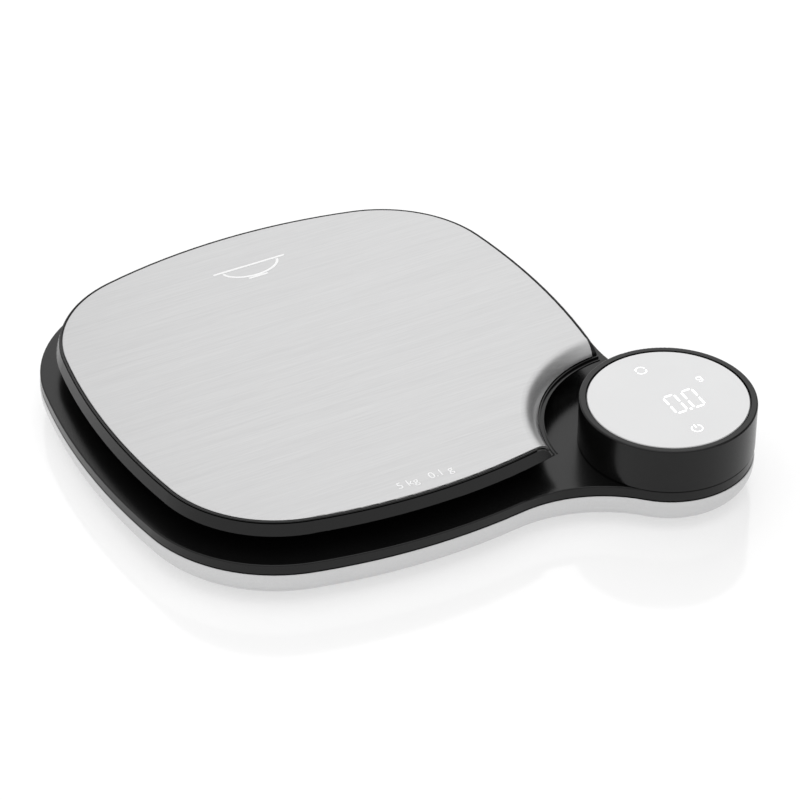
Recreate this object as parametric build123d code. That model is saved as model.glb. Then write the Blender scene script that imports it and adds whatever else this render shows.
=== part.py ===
from build123d import *
from math import atan2, cos, degrees, hypot, radians, sin
import os

# Kitchen scale, millimetres. The model is drawn with the steel plate's centre on the Z axis and the
# table at Z = 0, then shifted so that the finished part is centred on its own footprint.

# ---- driving dimensions -------------------------------------------------------------------------
# Steel plate outline: four long shallow sides joined by four corners, all tangent arcs.
PLATE_HALF_X = 90.0
PLATE_HALF_Y = 87.85
SIDE_X_RADIUS = 258.2
SIDE_Y_RADIUS = 210.8
CORNER_RADIUS = 46.35
PLATE_THICK = 0.8
ADHESIVE_THICK = 0.2
ADHESIVE_MARGIN = 6.0

# Platform carrier
RIM_WIDTH = 1.0
RIM_GROOVE = 0.4
RIM_DROP = 0.15
RIM_LINE = 0.35
SKIRT_FLARE = 1.6
SKIRT_DROP = 5.6
PLATE_EDGE = 0.25
CARRIER_WALL = 2.0
CARRIER_ROOF = 2.0
RIB_THICK = 1.4
RIB_PITCH = 30.0
RIB_DROP = 1.6
SHROUD_INSET = 14.0
SHROUD_GAP = 1.8

# Notch round the head: the steel rolls over in one bend down to its lip
FINGER_GAP = 12.2
LIP_INSET = 2.2
SCOOP_WIDTH = 6.4
SCOOP_DROP = 4.0

# Base
DECK_MARGIN = 9.3
DECK_THICK = 2.0
SHELL_HEIGHT = 12.0
SHELL_ROUND = 10.0
SHELL_WALL = 2.2
FLOOR_THICK = 2.0
PARTING_STEP = 0.3
REVEAL_HEIGHT = 0.5
REVEAL_DEPTH = 0.7
REVEAL_FLOOR = 0.12
DECK_EDGE = 0.5
LIP_CLEAR = 0.2
LIP_THICK = 1.2
LIP_DROP = 2.5
NECK_RADIUS = 50.0
SKIRT_GAP = 7.3

# Feet
FOOT_RADIUS = 7.0
FOOT_PROUD = 1.2
FOOT_SEAT = 0.8
FOOT_INSET = 18.5

# Display head
HEAD_RADIUS = 32.0
HEAD_HEIGHT = 18.1
HEAD_WALL = 2.2
HEAD_EDGE = 0.6
HEAD_RING = 2.8
LENS_THICK = 2.0
LENS_SINK = 0.15
LENS_GAP = 0.5
LENS_EDGE = 0.25
LEDGE_WIDTH = 2.0
LEDGE_THICK = 1.6
TAPE_THICK = 0.3
MASK_THICK = 1.2
LED_LENGTH = 42.0
LED_WIDTH = 18.0
LED_HEIGHT = 6.5
BOARD_THICK = 1.6
BOARD_GAP = 0.7
TOUCH_RADIUS = 4.0
TOUCH_OFFSET = 19.6

# Load cell
CELL_LENGTH = 80.0
CELL_SIDE = 12.7
CELL_FIRST_HOLE = 5.0
CELL_HOLE_PITCH = 15.0
CELL_SEAT_THICK = 0.8
CELL_PAD_RAISE = 0.8
FLEXURE_RADIUS = 4.6
FLEXURE_PITCH = 14.0
FLEXURE_SLOT = 4.0
GAUGE_LENGTH = 7.0
GAUGE_WIDTH = 5.0
GAUGE_THICK = 0.2
COATING_THICK = 0.8

# Bracket between the load cell and the carrier
BRACKET_THICK = 1.5
BRACKET_ARM = 16.0
BRACKET_RAISE = 3.0
BRACKET_CLEAR = 7.0
STOP_INSET = 16.0
STOP_GAP = 0.8

# Batteries and their bay
AAA_RADIUS = 5.25
AAA_LENGTH = 44.5
AAA_NUB_RADIUS = 1.9
AAA_NUB_LENGTH = 1.0
AAA_SPACING = 0.8
BAY_INSET = 41.85
BAY_WALL = 1.2
BAY_CEILING = 1.0
BAY_HEADROOM = 0.3
CONTACT_THICK = 0.6
CONTACT_SIDE = 8.0
SPRING_LENGTH = 3.4
DOOR_THICK = 1.6
DOOR_CLEAR = 0.35
DOOR_TAB_REACH = 2.65
DOOR_TAB_WIDTH = 8.0
DOOR_PAD_THICK = 0.5

# Fasteners and fits
SCREW_RADIUS = 1.5
SCREW_HEAD_RADIUS = 2.7
SCREW_HEAD_HEIGHT = 1.5
BOLT_RADIUS = 2.0
BOLT_HEAD_RADIUS = 3.5
BOLT_HEAD_HEIGHT = 1.6
FIT_CLEAR = 0.05
BOSS_WALL = 2.0
WELL_HEIGHT = 6.0
WELL_DEPTH = 3.2

# Electronics
MAIN_BOARD = (60.0, 26.0)
MAIN_BOARD_FROM_HEAD = (-32.0, 56.85)
MAIN_BOARD_CLEAR = 3.0
MAIN_BOARD_POST = 3.0
LEAD_PITCH = 2.5
LEAD_CLEAR = 6.0
LEAD_ALONG_BOARD = 18.0
RIBBON_WIDTH = 10.0
RIBBON_THICK = 0.6
RIBBON_BEND = 5.0
WIRE_RADIUS = 0.45
LEAD_RADIUS = 0.7

# ---- levels above the table ---------------------------------------------------------------------
Z_UNDER = FOOT_PROUD
Z_FLOOR = Z_UNDER + FLOOR_THICK
Z_SPLIT = Z_UNDER + SHELL_HEIGHT
Z_CELL = Z_FLOOR + CELL_PAD_RAISE + CELL_SEAT_THICK
Z_CELL_TOP = Z_CELL + CELL_SIDE
Z_DOOR_TOP = Z_UNDER + DOOR_THICK
Z_BATTERY = Z_DOOR_TOP + DOOR_PAD_THICK + DOOR_CLEAR + AAA_RADIUS
Z_BAY_CEILING = Z_BATTERY + AAA_RADIUS + FIT_CLEAR
# The deck is level with the load cell's top, or higher where the battery bay needs it.
Z_DECK = max(Z_CELL_TOP, Z_BAY_CEILING + BAY_CEILING + BAY_HEADROOM + DECK_THICK)
Z_DECK_UNDER = Z_DECK - DECK_THICK
Z_SKIRT = Z_DECK + SKIRT_GAP
Z_STEEL = Z_SKIRT + SKIRT_DROP
Z_STEEL_UNDER = Z_STEEL - PLATE_THICK
Z_SEAT = Z_STEEL_UNDER - ADHESIVE_THICK
Z_ROOF = Z_SEAT - CARRIER_ROOF
Z_HEAD = Z_DECK + HEAD_HEIGHT
Z_LENS = Z_HEAD - LENS_SINK
Z_LEDGE = Z_LENS - LENS_THICK - TAPE_THICK
Z_MASK = Z_LEDGE
Z_LED = Z_MASK - MASK_THICK
Z_DISPLAY_BOARD = Z_LED - LED_HEIGHT
Z_HEAD_BOSS = Z_DISPLAY_BOARD - BOARD_THICK
Z_BRACKET = Z_DECK + BRACKET_RAISE
Z_BRACKET_TOP = Z_BRACKET + BRACKET_THICK
Z_BOARD = Z_FLOOR + MAIN_BOARD_POST
Z_BOARD_TOP = Z_BOARD + BOARD_THICK

# ---- plan positions -----------------------------------------------------------------------------
HEAD_X, HEAD_Y = PLATE_HALF_X, -PLATE_HALF_Y
AAA_PITCH = 2 * AAA_RADIUS + AAA_SPACING
LENS_RADIUS = HEAD_RADIUS - HEAD_RING
NOTCH_RADIUS = HEAD_RADIUS + FINGER_GAP
SCOOP_LIP_RADIUS = NOTCH_RADIUS + LIP_INSET
SCOOP_START_RADIUS = SCOOP_LIP_RADIUS + SCOOP_WIDTH
LIP_SLOPE = 2 * degrees(atan2(SCOOP_DROP, SCOOP_WIDTH))
ROLL_RADIUS = SCOOP_WIDTH / sin(radians(LIP_SLOPE))
BRACKET_REACH = hypot(HEAD_X, HEAD_Y) - SCOOP_START_RADIUS - BRACKET_CLEAR
FOOTPRINT_X = (HEAD_X + HEAD_RADIUS - PLATE_HALF_X - DECK_MARGIN) / 2
FOOTPRINT_Y = (HEAD_Y - HEAD_RADIUS + PLATE_HALF_Y + DECK_MARGIN) / 2


def circles_meet(first, first_radius, second, second_radius, near):
    """Return the crossing of two circles that lies nearest a point."""
    dx, dy = second[0] - first[0], second[1] - first[1]
    gap = hypot(dx, dy)
    along = (first_radius**2 - second_radius**2 + gap**2) / (2 * gap)
    aside = (first_radius**2 - along**2) ** 0.5
    foot = (first[0] + along * dx / gap, first[1] + along * dy / gap)
    pair = [
        (foot[0] + s * aside * dy / gap, foot[1] - s * aside * dx / gap) for s in (-1, 1)
    ]
    return min(pair, key=lambda p: hypot(p[0] - near[0], p[1] - near[1]))


SIDE_X_CENTRE = (PLATE_HALF_X - SIDE_X_RADIUS, 0.0)
SIDE_Y_CENTRE = (0.0, PLATE_HALF_Y - SIDE_Y_RADIUS)
CORNER_CENTRE = circles_meet(
    SIDE_X_CENTRE, SIDE_X_RADIUS - CORNER_RADIUS,
    SIDE_Y_CENTRE, SIDE_Y_RADIUS - CORNER_RADIUS,
    (PLATE_HALF_X, PLATE_HALF_Y),
)
CORNER_START = degrees(atan2(CORNER_CENTRE[1], CORNER_CENTRE[0] - SIDE_X_CENTRE[0]))
CORNER_END = degrees(atan2(CORNER_CENTRE[1] - SIDE_Y_CENTRE[1], CORNER_CENTRE[0]))
CORNERS = [(1, 1), (-1, 1), (-1, -1), (1, -1)]
LOBE_REACH = HEAD_RADIUS + NECK_RADIUS
LOW_NECK = circles_meet(
    (HEAD_X, HEAD_Y), LOBE_REACH,
    (0.0, -SIDE_Y_CENTRE[1]), SIDE_Y_RADIUS + DECK_MARGIN + NECK_RADIUS,
    (HEAD_X - LOBE_REACH, HEAD_Y - LOBE_REACH),
)
HIGH_NECK = circles_meet(
    (HEAD_X, HEAD_Y), LOBE_REACH,
    SIDE_X_CENTRE, SIDE_X_RADIUS + DECK_MARGIN + NECK_RADIUS,
    (HEAD_X + LOBE_REACH, HEAD_Y + LOBE_REACH),
)
TO_CENTRE = degrees(atan2(-HEAD_Y, -HEAD_X))


def bearing(start, end):
    """Angle in degrees of the direction from one point to another."""
    return degrees(atan2(end[1] - start[1], end[0] - start[0]))


def arc(centre, radius, start, end):
    """Arc about a centre from one angle to another, clockwise where end is less than start."""
    return CenterArc((*centre, 0), radius, start, end - start)


def polar(centre, radius, angle):
    """Point at a radius and angle from a centre."""
    return (centre[0] + radius * cos(radians(angle)), centre[1] + radius * sin(radians(angle)))


def plate_face(offset=0.0):
    """Face of the plate's rounded outline, grown by an offset."""
    side_x, side_y = SIDE_X_RADIUS + offset, SIDE_Y_RADIUS + offset
    corner = CORNER_RADIUS + offset
    kx, ky = SIDE_X_CENTRE[0], SIDE_Y_CENTRE[1]
    mx, my = CORNER_CENTRE
    edges = [
        arc((kx, 0), side_x, -CORNER_START, CORNER_START),
        arc((mx, my), corner, CORNER_START, CORNER_END),
        arc((0, ky), side_y, CORNER_END, 180 - CORNER_END),
        arc((-mx, my), corner, 180 - CORNER_END, 180 - CORNER_START),
        arc((-kx, 0), side_x, 180 - CORNER_START, 180 + CORNER_START),
        arc((-mx, -my), corner, 180 + CORNER_START, 180 + CORNER_END),
        arc((0, -ky), side_y, 180 + CORNER_END, 360 - CORNER_END),
        arc((mx, -my), corner, 360 - CORNER_END, 360 - CORNER_START),
    ]
    return make_face(edges)


def base_face(offset=0.0):
    """Face of the base's outline, with the lobe under the head, grown by an offset."""
    side_x = SIDE_X_RADIUS + DECK_MARGIN + offset
    side_y = SIDE_Y_RADIUS + DECK_MARGIN + offset
    corner = CORNER_RADIUS + DECK_MARGIN + offset
    neck = NECK_RADIUS - offset
    kx, ky = SIDE_X_CENTRE[0], SIDE_Y_CENTRE[1]
    mx, my = CORNER_CENTRE
    head = (HEAD_X, HEAD_Y)
    high_on_side = bearing((kx, 0), HIGH_NECK)
    low_on_side = 360 + bearing((0, -ky), LOW_NECK)
    low_to_head = bearing(LOW_NECK, head)
    high_to_head = 360 + bearing(HIGH_NECK, head)
    edges = [
        arc((kx, 0), side_x, high_on_side, CORNER_START),
        arc((mx, my), corner, CORNER_START, CORNER_END),
        arc((0, ky), side_y, CORNER_END, 180 - CORNER_END),
        arc((-mx, my), corner, 180 - CORNER_END, 180 - CORNER_START),
        arc((-kx, 0), side_x, 180 - CORNER_START, 180 + CORNER_START),
        arc((-mx, -my), corner, 180 + CORNER_START, 180 + CORNER_END),
        arc((0, -ky), side_y, 180 + CORNER_END, low_on_side),
        arc(LOW_NECK, neck, low_on_side - 180, low_to_head),
        arc(head, HEAD_RADIUS + offset, low_to_head - 180, high_to_head - 180),
        arc(HIGH_NECK, neck, high_to_head, high_on_side + 180),
    ]
    return make_face(edges)


def prism(face, bottom, top):
    """Solid of a flat face between two levels."""
    return Pos(0, 0, bottom) * extrude(face, amount=top - bottom, dir=(0, 0, 1))


def block(x0, x1, y0, y1, z0, z1):
    """Box between limits."""
    return Pos((x0 + x1) / 2, (y0 + y1) / 2, (z0 + z1) / 2) * Box(x1 - x0, y1 - y0, z1 - z0)


def rod(point, radius, bottom, top):
    """Upright cylinder at a plan position."""
    return Pos(point[0], point[1], (bottom + top) / 2) * Cylinder(radius, top - bottom)


def screw(point, head_radius, head_height, shank_radius, head_from, tip):
    """Screw whose head starts at a level and whose shank runs on to the tip's level."""
    way = 1 if tip > head_from else -1
    shoulder = head_from + way * head_height
    head = rod(point, head_radius, min(head_from, shoulder), max(head_from, shoulder))
    shank = rod(point, shank_radius, min(shoulder, tip), max(shoulder, tip))
    slot_depth = head_height / 2
    slot = rod(point, head_radius * 0.42, min(head_from, head_from + way * slot_depth),
               max(head_from, head_from + way * slot_depth))
    return head + shank - slot


def corner_points(inset):
    """Plan positions near the base's four corners, in from the outline by an inset."""
    reach = CORNER_RADIUS + DECK_MARGIN - inset
    mx, my = CORNER_CENTRE
    return [polar((sx * mx, sy * my), reach, 45 * (2 - sx) if sy > 0 else -45 * (2 - sx))
            for sx, sy in CORNERS]


def cross_points(reach):
    """Plan positions along the bracket's four arms."""
    slope = degrees(atan2(PLATE_HALF_Y, PLATE_HALF_X))
    return [polar((0, 0), reach, angle)
            for angle in (slope, 180 - slope, 180 + slope, -slope)]


HOUSING_SCREWS = corner_points(FOOT_INSET + 15.5)[:3] + [
    polar((HEAD_X, HEAD_Y), NOTCH_RADIUS - 10.2, TO_CENTRE + 12),
    (5.0, 16.0 - PLATE_HALF_Y)]
FEET = corner_points(FOOT_INSET)[:3] + [(HEAD_X, HEAD_Y)]
HEAD_SCREW_ANGLES = (TO_CENTRE - 90, TO_CENTRE + 90, TO_CENTRE + 180)
HEAD_SCREW_REACH = HEAD_RADIUS - SHELL_WALL - LIP_CLEAR - LIP_THICK - SCREW_HEAD_RADIUS - 0.2
HEAD_SCREWS = [polar((HEAD_X, HEAD_Y), HEAD_SCREW_REACH, a) for a in HEAD_SCREW_ANGLES]
DISPLAY_SCREWS = [polar((HEAD_X, HEAD_Y), HEAD_SCREW_REACH, a + 30) for a in HEAD_SCREW_ANGLES]
CARRIER_BOSSES = cross_points(BRACKET_REACH - 6)
STOPS = cross_points(BRACKET_REACH - STOP_INSET)
# The main board lies near the head, and stays clear of the load cell.
MAIN_BOARD_CENTRE = (
    HEAD_X + MAIN_BOARD_FROM_HEAD[0],
    min(HEAD_Y + MAIN_BOARD_FROM_HEAD[1], -CELL_SIDE / 2 - MAIN_BOARD_CLEAR - MAIN_BOARD[1] / 2),
)
BAY_Y = PLATE_HALF_Y - BAY_INSET
CELL_HOLES = [CELL_LENGTH / 2 - CELL_FIRST_HOLE - n * CELL_HOLE_PITCH for n in (0, 1)]
FIXED_BOLTS = [(-x, 0.0) for x in CELL_HOLES]
FREE_BOLTS = [(x, 0.0) for x in CELL_HOLES]
RIBBON_X = HEAD_X - 16.0
RIBBON_Y = HEAD_Y + 14.0
BAY_HALF_X = (AAA_LENGTH + CONTACT_THICK + SPRING_LENGTH) / 2
DOOR_HALF_Y = AAA_RADIUS + AAA_PITCH / 2 + 1.1
BAY_TAB_SIDE = BAY_Y - DOOR_HALF_Y - DOOR_TAB_REACH - 0.9
BATTERY_ROWS = [(BAY_Y - AAA_PITCH / 2, 1), (BAY_Y + AAA_PITCH / 2, -1)]
HINGE_Y = BAY_Y - DOOR_HALF_Y + DOOR_CLEAR


def board_posts():
    """Plan positions of the main board's four screws."""
    cx, cy = MAIN_BOARD_CENTRE
    px, py = MAIN_BOARD[0] / 2 - 3.5, MAIN_BOARD[1] / 2 - 3.5
    return [(cx + sx * px, cy + sy * py) for sx, sy in CORNERS]


# ---- platform -----------------------------------------------------------------------------------
def scoop_curve(depth):
    """Arc of the scoop's section from the flat to the lip, at a depth below the steel's top face."""
    return arc((SCOOP_START_RADIUS, Z_STEEL - ROLL_RADIUS), ROLL_RADIUS - depth, 90, 90 + LIP_SLOPE)


def ends(curve):
    """First and last (radius, level) points of the scoop's section."""
    first, last = curve @ 0, curve @ 1
    return (first.X, first.Y), (last.X, last.Y)


def about_head(edges):
    """Full turn about the head's axis of a closed section drawn as (radius, level)."""
    return Pos(HEAD_X, HEAD_Y, 0) * revolve(Plane.XZ * make_face(edges), Axis.Z)


def platform_plate():
    """Brushed steel sheet, swept down into a scoop round the head."""
    flat = prism(plate_face(), Z_STEEL_UNDER, Z_STEEL)
    flat = fillet(flat.edges().group_by(Axis.Z)[-1], PLATE_EDGE)
    flat -= rod((HEAD_X, HEAD_Y), SCOOP_START_RADIUS, Z_STEEL_UNDER - 1, Z_STEEL + 1)
    upper, under = scoop_curve(0), scoop_curve(PLATE_THICK)
    (flat_top, lip_top), (flat_under, lip_under) = ends(upper), ends(under)
    section = [upper, under, Line(flat_top, flat_under), Line(lip_top, lip_under)]
    roll = about_head(section) & prism(plate_face(), Z_SKIRT - 1, Z_STEEL + 1)
    return flat + roll


def plate_adhesive():
    """Sheet of adhesive that holds the steel to its carrier."""
    sheet = prism(plate_face(-ADHESIVE_MARGIN), Z_SEAT, Z_STEEL_UNDER)
    return sheet - rod((HEAD_X, HEAD_Y), SCOOP_START_RADIUS + ADHESIVE_MARGIN, Z_SEAT - 1, Z_STEEL)


def shroud_region(inset):
    """Region of the platform inside its shroud wall, as a tall solid."""
    notch = rod((HEAD_X, HEAD_Y), SCOOP_START_RADIUS + 5 + inset, 0, Z_STEEL)
    return prism(plate_face(-SHROUD_INSET - inset), Z_DECK + SHROUD_GAP, Z_ROOF + 0.5) - notch


def carrier_notch():
    """Space cut out of the carrier: above the scoop's underside, and inside the rim of the notch."""
    top, low = Z_STEEL + 5, Z_SKIRT - 1
    under = scoop_curve(PLATE_THICK + FIT_CLEAR)
    flat, lip = ends(under)
    rim_out = SCOOP_LIP_RADIUS - RIM_GROOVE
    z_groove = lip[1] - RIM_GROOVE
    z_inner_rib = Z_SKIRT + 2 * RIM_LINE
    outline = Polyline(lip, (lip[0], z_groove), (rim_out, z_groove), (rim_out, lip[1]),
                       (rim_out - RIM_LINE, lip[1]), (rim_out - RIM_LINE, Z_SKIRT + RIM_LINE),
                       (NOTCH_RADIUS + RIM_LINE, Z_SKIRT + RIM_LINE), (NOTCH_RADIUS + RIM_LINE, z_inner_rib),
                       (NOTCH_RADIUS, z_inner_rib), (NOTCH_RADIUS, low), (0, low),
                       (0, top), (flat[0], top), flat)
    return about_head([under, *outline.edges()])


def carrier_skirt():
    """Outside of the carrier: a flared skirt, a fine line, and a thin rim round the steel."""
    z_rim = Z_STEEL - RIM_DROP
    z_line = z_rim - 2 * RIM_LINE
    skirt = loft([
        Pos(0, 0, Z_SKIRT) * plate_face(RIM_WIDTH + SKIRT_FLARE),
        Pos(0, 0, z_line) * plate_face(RIM_WIDTH + 2 * RIM_DROP),
    ], ruled=True)
    skirt = fillet(skirt.edges().group_by(Axis.Z)[0], RIM_LINE)
    rim = prism(plate_face(RIM_WIDTH), z_line + RIM_LINE, z_rim)
    rim = fillet(rim.edges().group_by(Axis.Z)[-1], RIM_DROP)
    neck = prism(plate_face(RIM_WIDTH - RIM_LINE), z_line - RIM_LINE, z_rim - RIM_LINE)
    return skirt + neck + rim


def platform_carrier():
    """Black moulding with a flared skirt under the steel, its ribs and its four bosses."""
    body = carrier_skirt()
    body -= prism(plate_face(RIM_GROOVE), Z_STEEL_UNDER, Z_STEEL + 1)
    body -= prism(plate_face(-ADHESIVE_MARGIN), Z_SEAT, Z_STEEL)
    flat_roof = prism(plate_face(RIM_WIDTH - CARRIER_WALL), Z_SKIRT - 1, Z_ROOF)
    far, near = SCOOP_START_RADIUS + CARRIER_WALL, NOTCH_RADIUS + 2 * CARRIER_WALL
    keep = about_head(Polyline((0, Z_ROOF + 1), (far, Z_ROOF + 1), (far, Z_ROOF), (near, Z_SKIRT),
                               (near, Z_SKIRT - 2), (0, Z_SKIRT - 2), close=True).edges())
    hollow = flat_roof - keep
    body = body - hollow - carrier_notch()
    ribs = Part()
    for n in (-2, -1, 0, 1, 2):
        across = RIB_PITCH * n
        ribs += block(across - RIB_THICK / 2, across + RIB_THICK / 2, -120, 120, Z_SKIRT + RIB_DROP, Z_ROOF)
        ribs += block(-120, 120, across - RIB_THICK / 2, across + RIB_THICK / 2, Z_SKIRT + RIB_DROP, Z_ROOF)
    body += ribs & hollow
    body += shroud_region(0) - shroud_region(RIB_THICK)
    for point in CARRIER_BOSSES:
        body += rod(point, SCREW_RADIUS + BOSS_WALL, Z_BRACKET_TOP, Z_ROOF)
        body -= rod(point, SCREW_RADIUS + FIT_CLEAR, Z_BRACKET_TOP - 1, Z_ROOF)
    for x in CELL_HOLES:
        body -= rod((x, 0), BOLT_HEAD_RADIUS + 1, Z_BRACKET_TOP, Z_ROOF)
    return body


def load_bracket():
    """Pressed steel cross between the load cell's free end and the carrier."""
    slope = degrees(atan2(PLATE_HALF_Y, PLATE_HALF_X))
    plate = Part()
    for angle in (slope, -slope):
        arm = Rot(0, 0, angle) * SlotOverall(2 * BRACKET_REACH, BRACKET_ARM)
        plate += prism(arm, Z_BRACKET, Z_BRACKET_TOP)
    plate += rod((0, 0), 24, Z_BRACKET, Z_BRACKET_TOP)
    plate += block(0, CELL_LENGTH / 2 + 3, -CELL_SIDE / 2 - 3, CELL_SIDE / 2 + 3, Z_BRACKET, Z_BRACKET_TOP)
    for point in CARRIER_BOSSES:
        plate -= rod(point, SCREW_RADIUS + 0.2, Z_BRACKET - 1, Z_BRACKET_TOP + 1)
    for point in FREE_BOLTS:
        plate -= rod(point, BOLT_RADIUS + 0.2, Z_BRACKET - 1, Z_BRACKET_TOP + 1)
    for angle in (90, 180, 270):
        plate -= rod(polar((0, 0), 14, angle), 5, Z_BRACKET - 1, Z_BRACKET_TOP + 1)
    return plate


def bracket_spacer():
    """Block that lifts the bracket clear of the load cell's fixed end."""
    inner = CELL_HOLES[1] - CELL_FIRST_HOLE
    body = block(inner, CELL_LENGTH / 2, -CELL_SIDE / 2, CELL_SIDE / 2, Z_CELL_TOP, Z_BRACKET)
    for point in FREE_BOLTS:
        body -= rod(point, BOLT_RADIUS + 0.2, Z_CELL_TOP - 1, Z_BRACKET + 1)
    return body


def bracket_screws():
    """Two machine screws down through the bracket into the load cell."""
    top = Z_BRACKET_TOP + BOLT_HEAD_HEIGHT
    return [screw(p, BOLT_HEAD_RADIUS, BOLT_HEAD_HEIGHT, BOLT_RADIUS, top, Z_CELL_TOP - 6)
            for p in FREE_BOLTS]


def carrier_screws():
    """Four screws up through the bracket into the carrier's bosses."""
    start = Z_BRACKET - SCREW_HEAD_HEIGHT * 0.8
    return [screw(p, SCREW_HEAD_RADIUS, SCREW_HEAD_HEIGHT * 0.8, SCREW_RADIUS, start, Z_ROOF - 0.6)
            for p in CARRIER_BOSSES]


# ---- base ---------------------------------------------------------------------------------------
def cell_aperture():
    """Opening in the deck over the load cell."""
    return RectangleRounded(CELL_LENGTH + 5, CELL_SIDE + 4, 3)


def upper_housing():
    """Black deck with its band, the lip that fits the tray, and its bosses."""
    wall = SHELL_WALL + PARTING_STEP
    body = prism(base_face(-PARTING_STEP), Z_SPLIT + REVEAL_HEIGHT, Z_DECK)
    body = fillet(body.edges().group_by(Axis.Z)[-1], DECK_EDGE)
    body += prism(base_face(-PARTING_STEP - REVEAL_DEPTH), Z_SPLIT, Z_SPLIT + REVEAL_HEIGHT)
    body += prism(base_face(-PARTING_STEP), Z_SPLIT, Z_SPLIT + REVEAL_FLOOR)
    body -= prism(base_face(-wall), Z_SPLIT - 1, Z_DECK_UNDER)
    lip = SHELL_WALL + LIP_CLEAR
    ring = prism(base_face(-lip), Z_SPLIT - LIP_DROP, Z_DECK_UNDER)
    body += ring - prism(base_face(-lip - LIP_THICK), Z_SPLIT - LIP_DROP, Z_DECK_UNDER)
    for point in HOUSING_SCREWS:
        body += rod(point, SCREW_RADIUS + BOSS_WALL, Z_UNDER + WELL_HEIGHT, Z_DECK_UNDER)
        body -= rod(point, SCREW_RADIUS + FIT_CLEAR, Z_UNDER, Z_DECK_UNDER)
    for point in STOPS:
        body += rod(point, SCREW_RADIUS + BOSS_WALL, Z_DECK_UNDER - 2.2, Z_DECK_UNDER)
        body -= rod(point, SCREW_RADIUS + FIT_CLEAR, Z_DECK_UNDER - 3, Z_DECK + 1)
    for point in HEAD_SCREWS:
        body -= rod(point, SCREW_RADIUS + 0.2, Z_DECK_UNDER - 1, Z_DECK + 1)
    body -= prism(cell_aperture(), Z_DECK_UNDER - 1, Z_DECK + 1)
    slot = Pos(RIBBON_X, RIBBON_Y) * Rectangle(RIBBON_WIDTH + 2, RIBBON_THICK + 3)
    return body - prism(slot, Z_DECK_UNDER - 1, Z_DECK + 1)


def battery_bay():
    """Walls and ceiling of the battery bay, standing on the tray's floor."""
    y0, y1 = BAY_TAB_SIDE, BAY_Y + DOOR_HALF_Y
    outer = block(-BAY_HALF_X - BAY_WALL, BAY_HALF_X + BAY_WALL, y0 - BAY_WALL, y1 + BAY_WALL,
                  Z_FLOOR, Z_BAY_CEILING + BAY_CEILING)
    return outer - block(-BAY_HALF_X, BAY_HALF_X, y0, y1, Z_FLOOR, Z_BAY_CEILING)


def lower_housing():
    """Silver tray with a rounded edge, battery bay, screw wells and posts."""
    body = prism(base_face(), Z_UNDER, Z_SPLIT)
    body = fillet(body.edges().group_by(Axis.Z)[0], SHELL_ROUND)
    body = fillet(body.edges().group_by(Axis.Z)[-1], PARTING_STEP)
    inner = prism(base_face(-SHELL_WALL), Z_FLOOR, Z_SPLIT + 1)
    body -= fillet(inner.edges().group_by(Axis.Z)[0], SHELL_ROUND - SHELL_WALL)
    body += battery_bay()
    pad_half = CELL_LENGTH / 4
    body += block(-CELL_LENGTH / 2 - 1, -CELL_LENGTH / 2 + pad_half * 1.6, -CELL_SIDE, CELL_SIDE,
                  Z_FLOOR, Z_FLOOR + CELL_PAD_RAISE)
    for point in HOUSING_SCREWS:
        body += rod(point, SCREW_RADIUS + BOSS_WALL + 0.8, Z_FLOOR, Z_UNDER + WELL_HEIGHT)
        body -= rod(point, SCREW_HEAD_RADIUS + 0.3, Z_UNDER - 1, Z_UNDER + WELL_DEPTH)
        body -= rod(point, SCREW_RADIUS + 0.2, Z_UNDER, Z_UNDER + WELL_HEIGHT + 1)
    for point in FEET:
        body -= rod(point, FOOT_RADIUS + FIT_CLEAR, Z_UNDER - 1, Z_UNDER + FOOT_SEAT)
    for point in FIXED_BOLTS:
        body -= rod(point, BOLT_HEAD_RADIUS + 0.3, Z_UNDER - 1, Z_UNDER + BOLT_HEAD_HEIGHT + 0.1)
        body -= rod(point, BOLT_RADIUS + 0.2, Z_UNDER - 1, Z_CELL)
    for point in board_posts():
        body += rod(point, SCREW_RADIUS + 1.4, Z_FLOOR, Z_BOARD)
        body -= rod(point, SCREW_RADIUS * 0.7 + FIT_CLEAR, Z_FLOOR, Z_BOARD + 1)
    door = block(-BAY_HALF_X, BAY_HALF_X, BAY_Y - DOOR_HALF_Y, BAY_Y + DOOR_HALF_Y, Z_UNDER - 1, Z_FLOOR)
    return body - door


def housing_screws():
    """Screws up through the tray's wells into the deck's bosses."""
    start = Z_UNDER + WELL_DEPTH - SCREW_HEAD_HEIGHT
    return [screw(p, SCREW_HEAD_RADIUS, SCREW_HEAD_HEIGHT, SCREW_RADIUS, start, Z_DECK_UNDER - 1.5)
            for p in HOUSING_SCREWS]


def rubber_feet():
    """Rubber feet set into the tray's underside."""
    feet = []
    for point in FEET:
        foot = rod(point, FOOT_RADIUS, 0, Z_UNDER + FOOT_SEAT)
        feet.append(fillet(foot.edges().group_by(Axis.Z)[0], 0.5))
    return feet


def load_cell():
    """Single-point load cell with its double-hole flexure."""
    half = CELL_SIDE / 2
    body = block(-CELL_LENGTH / 2, CELL_LENGTH / 2, -half, half, Z_CELL, Z_CELL_TOP)
    z_mid = Z_CELL + half
    for side in (-1, 1):
        eye = Pos(side * FLEXURE_PITCH / 2, 0, z_mid) * Rot(90, 0, 0)
        body -= eye * Cylinder(FLEXURE_RADIUS, CELL_SIDE + 2)
    body -= block(-FLEXURE_PITCH / 2, FLEXURE_PITCH / 2, -half - 1, half + 1,
                  z_mid - FLEXURE_SLOT / 2, z_mid + FLEXURE_SLOT / 2)
    for point in FIXED_BOLTS + FREE_BOLTS:
        body -= rod(point, BOLT_RADIUS + FIT_CLEAR, Z_CELL - 1, Z_CELL_TOP + 1)
    return body


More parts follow.
